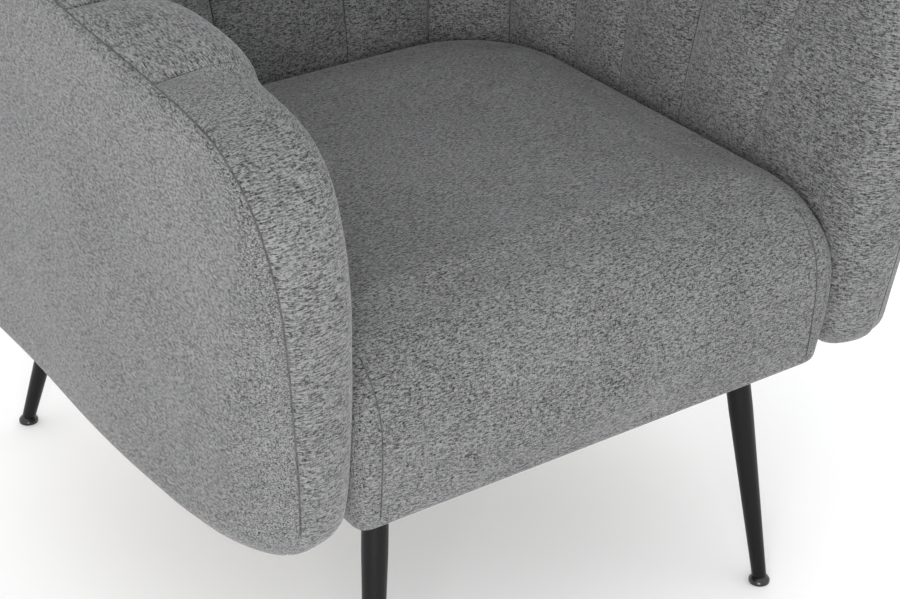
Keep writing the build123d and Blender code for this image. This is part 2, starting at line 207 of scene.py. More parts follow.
def speckled(name, colour, spread, roughness, scale, metallic=0.0, bump=0.0002, rough_spread=0.1):
    """A surface with fine variation in colour, roughness and height: paint, plastic, steel or foam."""
    mat = new_material(name, roughness, metallic)
    g = Graph(mat)
    fine = g.noise(g.coords(False, (scale,) * 3), 1.0, 3.0, 0.6)
    wide = g.noise(g.coords(False, (scale / 9,) * 3), 1.0, 2.0, 0.5)
    both = g.math("ADD", g.math("MULTIPLY", fine, 0.6), g.math("MULTIPLY", wide, 0.4))
    low = tuple(max(0.0, c * (1 - spread)) for c in colour)
    high = tuple(min(1.0, c * (1 + spread)) for c in colour)
    g.link(g.ramp(both, [(0.35, low), (0.65, high)]), g.shader.inputs["Base Color"])
    rough = g.math("ADD", g.math("MULTIPLY", both, rough_spread), roughness - rough_spread / 2)
    g.link(rough, g.shader.inputs["Roughness"])
    g.bump(fine, bump, 0.6)
    return mat


def timber_material(name):
    mat = new_material(name, 0.65)
    g = Graph(mat)
    wave = g.add("ShaderNodeTexWave", wave_type="RINGS", rings_direction="X")
    wave.inputs["Scale"].default_value = 28.0
    wave.inputs["Distortion"].default_value = 3.0
    wave.inputs["Detail"].default_value = 3.0
    g.link(g.coords(False, (0.25, 1.0, 1.0)), wave.inputs["Vector"])
    fibre = g.noise(g.coords(False, (14.0, 260.0, 260.0)), 1.0, 3.0, 0.6)
    both = g.math("ADD", g.math("MULTIPLY", wave.outputs["Fac"], 0.45), g.math("MULTIPLY", fibre, 0.55))
    stops = [(0.25, (0.30, 0.19, 0.10)), (0.5, (0.47, 0.32, 0.18)), (0.8, (0.58, 0.43, 0.27))]
    g.link(g.ramp(both, stops), g.shader.inputs["Base Color"])
    g.bump(both, 0.0004, 0.5)
    return mat


# ------------------------------------------------------------------ mesh helpers


def add_object(name, verts, faces, uvs=None, sharp=()):
    """A mesh piece from millimetre points; uvs is one pair per vertex, in metres."""
    mesh = bpy.data.meshes.new(name)
    mesh.from_pydata([tuple(v) for v in np.asarray(verts) * MM], [], faces)
    mesh.validate()
    mesh.update()
    if uvs is not None:
        layer = mesh.uv_layers.new(name="weave")
        index = np.empty(len(mesh.loops), np.int32)
        mesh.loops.foreach_get("vertex_index", index)
        layer.data.foreach_set("uv", np.asarray(uvs, np.float32)[index].ravel())
    mesh.polygons.foreach_set("use_smooth", [True] * len(mesh.polygons))
    if sharp:
        flags = [tuple(sorted(e.vertices)) in sharp for e in mesh.edges]
        layer = mesh.attributes.get("sharp_edge") or mesh.attributes.new("sharp_edge", "BOOLEAN", "EDGE")
        layer.data.foreach_set("value", flags)
    obj = bpy.data.objects.new(name, mesh)
    bpy.context.scene.collection.objects.link(obj)
    return obj


def unit(v):
    return v / np.maximum(np.linalg.norm(v, axis=-1, keepdims=True), 1e-9)


def grid_normals(grid):
    return unit(np.cross(np.gradient(grid, axis=0), np.gradient(grid, axis=1)))


def grid_uvs(grid, origin=(0.0, 0.0)):
    """U runs across the columns and V up the rows, as lengths along the mean row and column."""
    rows, cols = grid.shape[:2]
    across = np.linalg.norm(np.diff(grid, axis=1), axis=2).mean(0)
    up = np.linalg.norm(np.diff(grid, axis=0), axis=2).mean(1)
    u = np.concatenate([[0], np.cumsum(across)])
    v = np.concatenate([[0], np.cumsum(up)])
    uv = np.stack(np.meshgrid(u - u.mean(), v), axis=-1)
    return (uv * MM + np.array(origin)).reshape(rows * cols, 2)


def closed_grid(name, front, back, flip, uv_origin=(0.0, 0.0)):
    """A closed piece from its shown face and its hidden back, both grids of the same size."""
    rows, cols = front.shape[:2]
    n = rows * cols
    verts = np.concatenate([front.reshape(n, 3), back.reshape(n, 3)])
    faces = []
    for r in range(rows - 1):
        for c in range(cols - 1):
            a, b, d, e = r * cols + c, r * cols + c + 1, (r + 1) * cols + c + 1, (r + 1) * cols + c
            faces.append((a, b, d, e))
            faces.append((n + e, n + d, n + b, n + a))
    loop = list(range(cols)) + [r * cols + cols - 1 for r in range(1, rows)]
    loop += [(rows - 1) * cols + c for c in range(cols - 2, -1, -1)]
    loop += [r * cols for r in range(rows - 2, 0, -1)]
    sharp = set()
    for a, b in zip(loop, loop[1:] + loop[:1]):
        faces.append((b, a, n + a, n + b))
        sharp.add(tuple(sorted((a, b))))
    if flip:
        faces = [tuple(reversed(f)) for f in faces]
    uvs = grid_uvs(front, uv_origin)
    return add_object(name, verts, faces, np.concatenate([uvs, uvs]), sharp)


def smoothed(points, weight, rounds):
    """An open polyline relaxed with its two ends held."""
    points = points.copy()
    for _ in range(rounds):
        points[1:-1] += weight * (0.5 * (points[:-2] + points[2:]) - points[1:-1])
    return points


def relaxed(grid, rounds, weight=0.5):
    """A grid relaxed with its four edges held."""
    grid = grid.copy()
    for _ in range(rounds):
        inner = 0.25 * (grid[:-2, 1:-1] + grid[2:, 1:-1] + grid[1:-1, :-2] + grid[1:-1, 2:])
        grid[1:-1, 1:-1] += weight * (inner - grid[1:-1, 1:-1])
    return grid


def smoothed_rows(grid, rounds):
    """Evens out the values along each row, ends held."""
    grid = grid.copy()
    for _ in range(rounds):
        grid[:, 1:-1] = 0.25 * grid[:, :-2] + 0.5 * grid[:, 1:-1] + 0.25 * grid[:, 2:]
    return grid


def resampled(points, count):
    length = np.concatenate([[0], np.cumsum(np.linalg.norm(np.diff(points, axis=0), axis=1))])
    at = np.linspace(0, length[-1], count)
    return np.stack([np.interp(at, length, points[:, k]) for k in range(3)], axis=1)


CUT_SHARE, LAST_CUT_SHARE = 0.48, 0.62


def rounded(corners, cuts, line_steps, arc_steps):
    """Columns of points along a polyline whose corners are rounded. corners is (corner, column, xyz)."""
    corners = [np.asarray(c, float) for c in corners]
    starts, ends = [corners[0]], []
    for j in range(1, len(corners) - 1):
        here, before, after = corners[j], corners[j - 1], corners[j + 1]
        after_share = LAST_CUT_SHARE if j == len(corners) - 2 else CUT_SHARE
        for other, store, most in ((before, ends, CUT_SHARE), (after, starts, after_share)):
            run = np.maximum(np.linalg.norm(other - here, axis=1, keepdims=True), 1e-6)
            store.append(here + (other - here) * np.minimum(cuts[j - 1] / run, most))
    ends.append(corners[-1])
    rows = []
    for j, (start, end) in enumerate(zip(starts, ends)):
        steps = line_steps[j]
        for k in range(steps):
            rows.append(start + (end - start) * k / steps)
        if j < len(arc_steps):
            here, after = corners[j + 1], starts[j + 1]
            for k in range(arc_steps[j]):
                t = k / arc_steps[j]
                rows.append((1 - t) ** 2 * end + 2 * t * (1 - t) * here + t * t * after)
    rows.append(ends[-1])
    return np.stack(rows)


def smoothstep(value, low, high):
    t = np.clip((value - low) / (high - low), 0, 1)
    return t * t * (3 - 2 * t)


def ripple(points, scale, height, seed, stretch=(1.0, 1.0, 1.0)):
    """Soft unevenness for a grid of points: one height per point."""
    flat = points.reshape(-1, 3)
    shift = Vector((seed * 7.31, seed * 3.17, seed * 5.71))
    values = [noise.noise(Vector([p[k] * stretch[k] / scale for k in range(3)]) + shift) for p in flat]
    return height * np.array(values).reshape(points.shape[:-1])


# ------------------------------------------------------------------ the shell's shape, in mm, left half

UNDERSIDE, SEAT_LEVEL, RAKE_TOP = 270.0, 445.0, 830.0
# Seams of the inside face from the arm front to the middle of the back, at seat level and at RAKE_TOP
SEAMS_LOW = [(-277, -218), (-277, -109), (-277, -13), (-277, 66), (-255, 154), (-180, 203), (-76, 203)]
SEAMS_HIGH = [(-320, -303), (-320, -150), (-320, -20), (-320, 98), (-298, 205), (-218, 268), (-92, 287)]
# Where each seam meets the outer seam
SEAM_ENDS = [(-387, -255), (-387, -100), (-388, 22), (-389, 135), (-355, 300), (-235, 392), (-97, 396)]
# Half width, rear and rear corner radius of the outside at each height
OUTSIDE = {
    UNDERSIDE: (374.0, 356.0, 150.0),
    SEAT_LEVEL: (384.0, 366.0, 160.0),
    RAKE_TOP: (398.0, 402.0, 185.0)}
REACH = 470.0
RIM_TABLE = [(-470, 689), (-248, 692), (-170, 696.5), (-95, 703), (-20, 714), (60, 733), (150, 763),
             (230, 787), (300, 798), (430, 802)]
OUTER_SEAM_FRONT = [
    (-331, -357, 270), (-334, -365, 320), (-338, -371.5, 365), (-343, -377, 410), (-348, -382, 446),
    (-353, -388, 488), (-359, -394, 522), (-366, -399.5, 560), (-372, -401.5, 583), (-380, -399, 623),
    (-386, -384, 655), (-387.5, -352, 677), (-388, -305, 687), (-388, -248, 692)]
RIM_INSET = 6.0


def seam_point(k, z):
    """Seam k (0 at the arm front) of the inside face at height z."""
    share = max(0.0, (z - SEAT_LEVEL) / (RAKE_TOP - SEAT_LEVEL))
    low, high = np.array(SEAMS_LOW[k], float), np.array(SEAMS_HIGH[k], float)
    return np.array([*(low + (high - low) * share), z])


def make_rim_height():
    ys = np.arange(-480.0, 440.0, 4.0)
    zs = np.interp(ys, *zip(*RIM_TABLE))
    for _ in range(60):
        zs[1:-1] = 0.25 * zs[:-2] + 0.5 * zs[1:-1] + 0.25 * zs[2:]
    return lambda y: np.interp(y, ys, zs)


rim_height = make_rim_height()


def outside_at(z):
    levels = sorted(OUTSIDE)
    return [float(np.interp(z, levels, [OUTSIDE[v][k] for v in levels])) for k in range(3)]


def outside_point(s, z, inset=0.0):
    """The outside face: s runs 0-1 along the arm, 1-2 round the rear corner, 2-3 to the back's middle."""
    half, rear, corner = outside_at(z)
    if s < 1:
        return np.array([-(half - inset), -REACH + s * (rear - corner + REACH), z])
    if s < 2:
        angle = math.radians(90 * (s - 1))
        radius = corner - inset
        x = -(half - corner) - radius * math.cos(angle)
        return np.array([x, rear - corner + radius * math.sin(angle), z])
    return np.array([-(half - corner) * (3 - s), rear - inset, z])


def outside_s(point):
    """The s of a point near the outside face."""
    x, y, z = point
    half, rear, corner = outside_at(z)
    if y < rear - corner:
        return (y + REACH) / (rear - corner + REACH)
    if x < -(half - corner):
        return 1 + math.degrees(math.atan2(y - (rear - corner), -(half - corner) - x)) / 90
    return 3 + x / (half - corner)


def make_outer_seam():
    """The seam between the inside and outside covers, from the arm front's foot to the middle of the back."""
    points = [np.array(p, float) for p in OUTER_SEAM_FRONT]
    for s in np.linspace(0.36, 3.0, 150):
        z = 750.0
        for _ in range(6):
            z = float(rim_height(outside_point(s, z)[1]))
        point = outside_point(s, z, RIM_INSET)
        if point[1] > -236 or s > 1:
            points.append(point)
    dense = resampled(np.array(points), 420)
    return resampled(smoothed(dense, 0.5, 24), 420)


OUTER_SEAM = make_outer_seam()
END_INDEX = [int(np.argmin(np.hypot(OUTER_SEAM[:, 0] - x, OUTER_SEAM[:, 1] - y))) for x, y in SEAM_ENDS]
# How far the unrounded rim stands over the rim line, and how far a pad's foot turns under
COLLAR, TUCK = 19.0, 24.0


def rim_corner(k):
    """Where seam k would meet the rim if the edge were not rounded."""
    z = 700.0
    for _ in range(8):
        z = float(rim_height(seam_point(k, z)[1])) + COLLAR
    return seam_point(k, z)


RIM_CORNERS = [rim_corner(k) for k in range(7)]


def outer_seam_at(index):
    whole = np.arange(len(OUTER_SEAM))
    return np.stack([np.interp(index, whole, OUTER_SEAM[:, k]) for k in range(3)], axis=-1)


def seam_sections(k, shares, across=False):
    """Corner points of the sections from seam k to seam k + 1, or across the middle to seam k's mirror."""
    def lerp(a, b):
        return a + (b - a) * shares[:, None]
    following = k + 1
    flip = np.array([-1.0, 1.0, 1.0])
    if across:
        last = [seam_point(k, UNDERSIDE) * flip, seam_point(k, SEAT_LEVEL) * flip, RIM_CORNERS[k] * flip]
        left_over = len(OUTER_SEAM) - 1 - END_INDEX[k]
        ends = outer_seam_at(END_INDEX[k] + left_over * np.clip(shares * 2, 0, 1))
        mirror_ends = outer_seam_at(END_INDEX[k] + left_over * np.clip(2 - shares * 2, 0, 1)) * flip
        ends = np.where(shares[:, None] <= 0.5, ends, mirror_ends)
    else:
        last = [seam_point(following, z) for z in (UNDERSIDE, SEAT_LEVEL)] + [RIM_CORNERS[following]]
        ends = outer_seam_at(END_INDEX[k] + (END_INDEX[following] - END_INDEX[k]) * shares)
    foot = lerp(seam_point(k, UNDERSIDE), last[0])
    level = lerp(seam_point(k, SEAT_LEVEL), last[1])
    corner = lerp(RIM_CORNERS[k], last[2])
    corner[:, 2] = rim_height(corner[:, 1]) + COLLAR
    outward = unit((ends - corner) * np.array([1, 1, 0]))
    tuck = foot + outward * TUCK
    return [tuck, foot, level, corner, ends]


# Grid steps of a section's straight stretches and of its rounded corners
LINE_STEPS, ARC_STEPS = (3, 6, 12, 6), (5, 8, 20)
# Rounding of a section's corners: at the foot, at seat level and at the rim
CUTS = (14.0, 60.0, 47.0)
# How far a pad puffs above and below seat level, and the width of the roll at its outer end
CROWN, LOW_CROWN, END_ROLL = 12.0, 1.5, 18.0
PAD_DEPTH, NOSE_DEPTH, BACK_SHARE = 20.0, 22.0, 0.93
SEAM_GAP = 0.35 / 80


def crowned(grid, normals, shares):
    """The section grid with each channel puffed between its seams."""
    across = np.maximum(1 - np.abs(2 * shares - 1) ** 2.3, 0) ** 0.68
    run = np.linalg.norm(np.diff(grid[::-1], axis=0), axis=2).cumsum(0)
    run = np.concatenate([np.zeros((1, grid.shape[1])), run])[::-1]
    near = np.clip(run / END_ROLL, 0, 1)
    end = np.sqrt(np.maximum(1 - (1 - near) ** 2, 0))
    height = LOW_CROWN + (CROWN - LOW_CROWN) * smoothstep(grid[:, :, 2], 432, 505)
    height = height * smoothstep(grid[:, :, 2], 268, 300)
    return grid + normals * (height * across[None, :] * end)[:, :, None]


def edge_spread(count):
    t = np.linspace(0, 1, count)
    return 0.45 * t + 0.55 * 0.5 * (1 - np.cos(np.pi * t))


def pad_back(grid, normals, depth):
    """A pad's hidden back: its face set back by depth and drawn in a little along each row."""
    back = grid - normals * depth
    middle_column = back.mean(axis=1, keepdims=True)
    return middle_column + (back - middle_column) * BACK_SHARE


def channel_pad(k, across=False):
    """The shown face and hidden back of the channel after seam k, or of the one across the middle."""
    shares = edge_spread(33 if across else 25)
    parts = seam_sections(k, SEAM_GAP + (1 - 2 * SEAM_GAP) * shares, across)
    grid = rounded(parts, CUTS, LINE_STEPS, ARC_STEPS)
    normals = grid_normals(grid)
    centre = np.array([0.0, -60.0, 500.0])
    middle = grid.shape[0] // 2
    if np.sum(normals[middle] * (centre - grid[middle])) < 0:
        normals = -normals
    front = crowned(grid, normals, shares)
    uneven = ripple(front, 55.0, 0.9, k + 1)[:, :, None] * smoothstep(front[:, :, 2:], 440, 480)
    return front + normals * uneven, pad_back(grid, normals, PAD_DEPTH)


def outline_normals(curve):
    """Unit normals of the outer seam in the side view, pointing off the arm's front and top."""
    run = np.gradient(curve, axis=0)
    normal = np.stack([np.zeros(len(curve)), -np.abs(run[:, 2]), np.abs(run[:, 1])], axis=1)
    return unit(normal)


NOSE_PUSH, NOSE_ROUNDS, NOSE_CROWN = 1.0, 130, 4.5
NOSE_FRONT = -330.0


def front_pad():
    """The pad that wraps the arm's nose, between the foremost channel seam and the outer seam."""
    rows, cols = 110, 46
    seam = rounded([p[:1] for p in seam_sections(0, np.array([0.0, 1.0]))], CUTS, LINE_STEPS, ARC_STEPS)[:, 0]
    seam = seam[LINE_STEPS[0] + ARC_STEPS[0] // 2 + 1:]
    seam = resampled(seam, rows)
    outer = resampled(OUTER_SEAM[:END_INDEX[0] + 1], rows)
    turn = int(rows * 0.84)
    edge = outer.copy()
    share = np.clip((outer[:, 2] - SEAT_LEVEL) / (RAKE_TOP - SEAT_LEVEL), 0, 1)
    edge[:, 0] = SEAMS_LOW[0][0] + (SEAMS_HIGH[0][0] - SEAMS_LOW[0][0]) * share
    edge += outline_normals(outer) * NOSE_PUSH
    blend = smoothstep(np.arange(rows), turn - 8, rows - 1)[:, None]
    edge = edge * (1 - blend) + (0.5 * seam + 0.5 * outer) * blend
    grid = np.zeros((rows, cols, 3))
    for r in range(rows):
        grid[r] = resampled(np.array([seam[r], edge[r], outer[r]]), cols)
    grid[0] = smoothed(grid[0], 0.5, NOSE_ROUNDS)
    grid = relaxed(grid, NOSE_ROUNDS)
    normals = grid_normals(grid)
    if normals[10, 5, 0] < 0:
        normals = -normals
    run_left = np.linalg.norm(np.diff(grid, axis=1), axis=2).cumsum(1)
    run_left = np.concatenate([np.zeros((rows, 1)), run_left], axis=1)
    run_right = run_left[:, -1:] - run_left
    near = np.clip(np.minimum(run_left / 26.0, run_right / 16.0), 0, 1)
    height = LOW_CROWN + (NOSE_CROWN - LOW_CROWN) * smoothstep(grid[:, :, 2], 432, 505)
    height = np.where(grid[:, :, 1] < NOSE_FRONT, NOSE_CROWN, height)
    shown = grid + normals * (height * np.sqrt(np.maximum(1 - (1 - near) ** 2, 0)))[:, :, None]
    shown = shown + normals * ripple(shown, 70.0, 1.0, 21)[:, :, None] * near[:, :, None]
    level = unit(normals * np.array([1, 1, 0]))
    level = unit(smoothed_rows(level, 12))
    shown = shown - level * hem_inset(shown)[:, :, None]
    return shown, pad_back(grid, normals, NOSE_DEPTH)


# The outside cover: reach of its rounding at the seam, hem radii behind and in front, belly of the arm,
# samples of the seam, and the plan's length to the rear corner, round it and to the middle of the back
EDGE_REACH, LEAST_REACH, HEM_RADIUS, HEM_FRONT, ARM_BELLY = 1.9, 16.0, 14.0, 34.0, 7.0
SEAM_SAMPLES = 5000
PLAN_LENGTHS = (0, 685, 955, 1168)


def outside_grid():
    """The left half's outside cover as (s, z): rows upwards, columns from the arm front to the back's middle."""
    corner = int(np.argmin(OUTER_SEAM[:, 1] - 0.75 * OUTER_SEAM[:, 2]))
    rows, cols = 84, 190
    left = resampled(OUTER_SEAM[:corner + 1], rows)
    top = resampled(OUTER_SEAM[corner:], cols)

    def flat(points):
        return np.array([[outside_s(p), p[2]] for p in points])
    left, top = flat(left), flat(top)
    s_start, s_top = left[0, 0], top[:, 0]
    bottom_s = s_start + (3.0 - s_start) * (s_top - s_top[0]) / (3.0 - s_top[0])
    bottom = np.stack([bottom_s, np.full(cols, UNDERSIDE)], axis=1)
    right = np.stack([np.full(rows, 3.0), np.linspace(UNDERSIDE, top[-1, 1], rows)], axis=1)
    even = np.linspace(0, 1, rows)
    level = 0.5 * even + 0.5 * 0.5 * (1 - np.cos(np.pi * even))

    def at_levels(edge):
        return np.stack([np.interp(level, even, edge[:, k]) for k in range(2)], axis=1)
    a = np.linspace(0, 1, cols)[None, :, None]
    b = level[:, None, None]
    plane = (1 - a) * at_levels(left)[:, None] + a * at_levels(right)[:, None]
    plane = plane + (1 - b) * bottom[None] + b * top[None]
    return plane - ((1 - a) * (1 - b) * bottom[0] + a * (1 - b) * bottom[-1]
                    + (1 - a) * b * top[0] + a * b * top[-1])


def along_length(s):
    """Rough arc length of the outside plan, for distances."""
    return np.interp(s, (0, 1, 2, 3), PLAN_LENGTHS)


def hem_inset(grid):
    """How far the lower edge is drawn in: a wide roll at the arm front, a tighter one behind."""
    radius = HEM_RADIUS + (HEM_FRONT - HEM_RADIUS) * (1 - smoothstep(grid[:, :, 1], -345, -215))
    q = np.clip((grid[:, :, 2] - UNDERSIDE) / radius, 0, 1)
    return radius * (1 - np.sqrt(np.maximum(1 - (1 - q) ** 2, 0)))


def facing_out(grid):
    """Normals of the left half's outside cover, pointing away from the chair."""
    normals = grid_normals(grid)
    return -normals if normals[grid.shape[0] // 2, grid.shape[1] // 3, 0] > 0 else normals


def outside_surface():
    """The left half's outside cover and its normals, rolled in at the seam and at the hem."""
    plane = outside_grid()
    rows, cols = plane.shape[:2]
    seam = resampled(OUTER_SEAM, SEAM_SAMPLES)
    seam_s = np.array([outside_s(p) for p in seam])
    seam_flat = np.stack([along_length(seam_s), seam[:, 2]], axis=1)
    on_face = np.array([outside_point(s, p[2]) for s, p in zip(seam_s, seam)])
    drop = seam - on_face
    depth = np.linalg.norm(drop, axis=1)
    grid = np.zeros((rows, cols, 3))
    for r in range(rows):
        for c in range(cols):
            s, z = plane[r, c]
            s, z = min(max(s, 0.0), 3.0), max(z, UNDERSIDE)
            base = outside_point(s, z)
            here = np.array([along_length(s), z])
            gaps = np.linalg.norm(seam_flat - here, axis=1)
            nearest = int(np.argmin(gaps))
            reach = max(EDGE_REACH * depth[nearest], LEAST_REACH)
            gap = 0.0 if c == 0 or r == rows - 1 else gaps[nearest]
            q = min(gap / reach, 1.0)
            grid[r, c] = base + drop[nearest] * (1 - math.sqrt(max(0.0, 1 - (1 - q) ** 2)))
    low = 1 - smoothstep(grid[:, :, 2], 300, 560)
    along = np.clip((grid[:, :, 1] + 100) / 215, -1, 1)
    side = grid[:, :, 0] < -300
    grid[:, :, 0] -= ARM_BELLY * low * np.cos(np.pi / 2 * along) ** 2 * side
    level = unit(facing_out(grid) * np.array([1, 1, 0]))
    grid = grid - level * hem_inset(grid)[:, :, None]
    hem = grid[:1] - level[:1] * 12.0
    hem[:, :, 2] = UNDERSIDE - 1.2
    grid[0, :, 2] -= 0.8
    grid = np.concatenate([hem, grid])
    normals = facing_out(grid)
    shown = grid + normals * ripple(grid, 120.0, 1.4, 31)[:, :, None] * smoothstep(grid[:, :, 2:], 290, 340)
    return shown, normals


# ------------------------------------------------------------------ building the shell

# The side covers end at this y, read on one row of the outside cover; the cover is SKIN thick
SPLIT_Y, SPLIT_ROW, SKIN = 205.0, 40, 3.2
CHANNELS, WEAVE_SHIFT = 13, 0.11
SEAM_FOOT, SEAM_RADIUS, SEAT_SEAM_RADIUS = 303.0, 0.9, 0.7

def mirrored(grid):
    return grid * np.array([-1.0, 1.0, 1.0])


def grid_piece(name, front, back, uv_origin):
    r, c = front.shape[0] // 2, front.shape[1] // 2
    face = np.cross(np.gradient(front, axis=1)[r, c], np.gradient(front, axis=0)[r, c])
    outward = front[r, c] - back[r, c]
    return closed_grid(name, front, back, float(np.dot(face, outward)) < 0, uv_origin)


def finish_piece(obj, material, nodes=()):
    obj.data.materials.clear()
    obj.data.materials.append(material)
    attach(obj, "root")
    if nodes:
        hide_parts(*nodes)
    return obj


def build_shell():
    """The channels, arm front pads and outside covers. Returns their shown faces, left half."""
    skins = []
    for k in range(6):
        front, back = channel_pad(k)
        skins.append(front)
        for side, index in (("left", k + 1), ("right", CHANNELS - k)):
            shape = (front, back) if side == "left" else (mirrored(front), mirrored(back))
            node = "channel_pad_%02d" % index
            obj = grid_piece("cover_" + node, *shape, (WEAVE_SHIFT * index, 0.0))
            finish_piece(obj, CLOTH_INSIDE, [node])
    front, back = channel_pad(6, across=True)
    skins.append(front)
    obj = grid_piece("cover_channel_pad_07", front, back, (0.8, 0.0))
    finish_piece(obj, CLOTH_INSIDE, ["channel_pad_07"])
    front, back = front_pad()
    skins.append(front)
    for side in ("left", "right"):
        shape = (front, back) if side == "left" else (mirrored(front), mirrored(back))
        node = "arm_front_pad_" + side
        obj = grid_piece("cover_" + node, *shape, (0.3, 0.0))
        finish_piece(obj, CLOTH_INSIDE, [node])
    shown, normals = outside_surface()
    split = int(np.argmin(np.abs(shown[SPLIT_ROW, :, 1] - SPLIT_Y)))
    skins.append(shown)
    inner = shown - normals * SKIN
    for side in ("left", "right"):
        shape = [g[:, :split + 1] for g in (shown, inner)]
        if side == "right":
            shape = [mirrored(g) for g in shape]
        obj = grid_piece("cover_outside_" + side, *shape, (0.0, 0.0))
        finish_piece(obj, CLOTH_OUTSIDE, ["outside_panel_" + side])
    half = [g[:, split:] for g in (shown, inner)]
    whole = [np.concatenate([g, mirrored(g)[:, -2::-1]], axis=1) for g in half]
    obj = grid_piece("cover_outside_back", *whole, (0.0, 0.0))
    finish_piece(obj, CLOTH_OUTSIDE, ["outside_panel_back"])
    return skins


def tube(name, path, radius, sides=8):
    """A thin round roll along a path: a welt of folded cloth or a thread."""
    path = np.asarray(path, float)
    run = unit(np.gradient(path, axis=0))
    side = unit(np.cross(run, np.array([0.31, 0.52, 0.79])))
    up = np.cross(run, side)
    verts = []
    for i in range(len(path)):
        for j in range(sides):
            angle = 2 * math.pi * j / sides
            verts.append(path[i] + radius * (math.cos(angle) * side[i] + math.sin(angle) * up[i]))
    faces = []
    for i in range(len(path) - 1):
        for j in range(sides):
            a, b = i * sides + j, i * sides + (j + 1) % sides
            faces.append((a, b, b + sides, a + sides))
    faces.append(tuple(range(sides))[::-1])
    faces.append(tuple(range((len(path) - 1) * sides, len(path) * sides)))
    length = np.concatenate([[0], np.cumsum(np.linalg.norm(np.diff(path, axis=0), axis=1))])
    round_step = radius * MM * math.tau / sides
    uvs = [(at * MM, round_step * j) for at in length for j in range(sides)]
    return add_object(name, verts, faces, uvs)


# These rolls take the darker seam cloth, which paints the shade of the crease where the covers meet.
def build_outer_seams():
    """The seam between the inside and outside covers, as a thin roll for each side and the back."""
    index = int(np.argmin(np.abs(OUTER_SEAM[:, 1] - SPLIT_Y)))
    start = int(np.argmax(OUTER_SEAM[:, 2] > SEAM_FOOT))
    for side in ("left", "right"):
        path = OUTER_SEAM[start:index + 1]
        if side == "right":
            path = mirrored(path)
        finish_piece(tube("seam_roll_" + side, path, SEAM_RADIUS), SEAM_CLOTH_PAINTED_SHADE, ["border_" + side])
    path = OUTER_SEAM[index:]
    path = np.concatenate([path, mirrored(path)[-2::-1]])
    finish_piece(tube("seam_roll_back", path, SEAM_RADIUS), SEAM_CLOTH_PAINTED_SHADE, ["border_back"])


# ------------------------------------------------------------------ seat

SEAT_HALF, SEAT_FRONT, SEAT_REAR, SEAT_TOP = 267.0, -352.5, 194.5, 452.0
SEAT_CORNER, WATERFALL, SEAT_EDGE, FRONT_CORNER = 112.0, 80.0, 16.0, 14.0
SEAT_BELLY, BELLY_HEIGHT = 7.0, 190.0
SEAT_DOME, SEAT_CHEEK = 6.0, 11.0
SEAT_VOXEL, PRESSURE, PUFF_CAP = 6.0, 4.0, 9.0
SEAT_FOOT = UNDERSIDE + 1.6
SEAT_SEAM_X = 248.0
CORNER_STEPS = 12


def seat_ring(z):
    """The seat's plan at height z, as a closed ring of points."""
    def roll(radius):
        rise = max(0.0, z - (SEAT_TOP - radius))
        return radius - math.sqrt(max(0.0, radius * radius - rise * rise))
    belly = SEAT_BELLY * math.sin(math.pi * min(1.0, max(0.0, (z - UNDERSIDE) / BELLY_HEIGHT)))
    half = SEAT_HALF - roll(SEAT_EDGE)
    front = SEAT_FRONT + roll(WATERFALL) - belly
    rear = SEAT_REAR - roll(SEAT_EDGE)
    points = []
    corners = ((1, 1, SEAT_CORNER, 0), (-1, 1, SEAT_CORNER, 90),
               (-1, -1, FRONT_CORNER, 180), (1, -1, FRONT_CORNER, 270))
    for cx, cy, radius, start in corners:
        centre = (cx * (half - radius), (rear - radius) if cy > 0 else (front + radius))
        for i in range(CORNER_STEPS + 1):
            angle = math.radians(start + 90 * i / CORNER_STEPS)
            points.append((centre[0] + radius * math.cos(angle), centre[1] + radius * math.sin(angle), z))
    return points


def seat_blank(name):
    """The seat before it is padded out: one closed block with a waterfall front."""
    levels = [SEAT_FOOT + (SEAT_TOP - WATERFALL - SEAT_FOOT) * i / 6 for i in range(6)]
    levels += [SEAT_TOP - WATERFALL + WATERFALL * math.sin(math.radians(90 * i / 14)) for i in range(15)]
    verts, faces = [], []
    count = 4 * (CORNER_STEPS + 1)
    for z in levels:
        verts += seat_ring(min(z, SEAT_TOP - 1e-3))
    for r in range(len(levels) - 1):
        for c in range(count):
            a, b = r * count + c, r * count + (c + 1) % count
            faces.append((a, b, b + count, a + count))
    faces.append(tuple(range(count))[::-1])
    faces.append(tuple(range((len(levels) - 1) * count, len(levels) * count)))
    return add_object(name, verts, faces)


def applied(obj):
    """The piece with its modifiers made real."""
    graph = bpy.context.evaluated_depsgraph_get()
    graph.update()
    mesh = bpy.data.meshes.new_from_object(obj.evaluated_get(graph))
    obj.modifiers.clear()
    old = obj.data
    obj.data = mesh
    bpy.data.meshes.remove(old)
    return obj


def coordinates(mesh):
    co = np.empty(len(mesh.vertices) * 3)
    mesh.vertices.foreach_get("co", co)
    return co.reshape(-1, 3) / MM


def set_coordinates(mesh, co):
    mesh.vertices.foreach_set("co", (np.asarray(co) * MM).astype(np.float32).ravel())
    mesh.update()


def remeshed(obj, voxel):
    mod = obj.modifiers.new("remesh", "REMESH")
    mod.mode = "VOXEL"
    mod.voxel_size = voxel * MM
    mod.use_smooth_shade = True
    return applied(obj)


def relax_mesh(obj, rounds, factor=0.5):
    mod = obj.modifiers.new("relax", "SMOOTH")
    mod.factor, mod.iterations = factor, rounds
    return applied(obj)


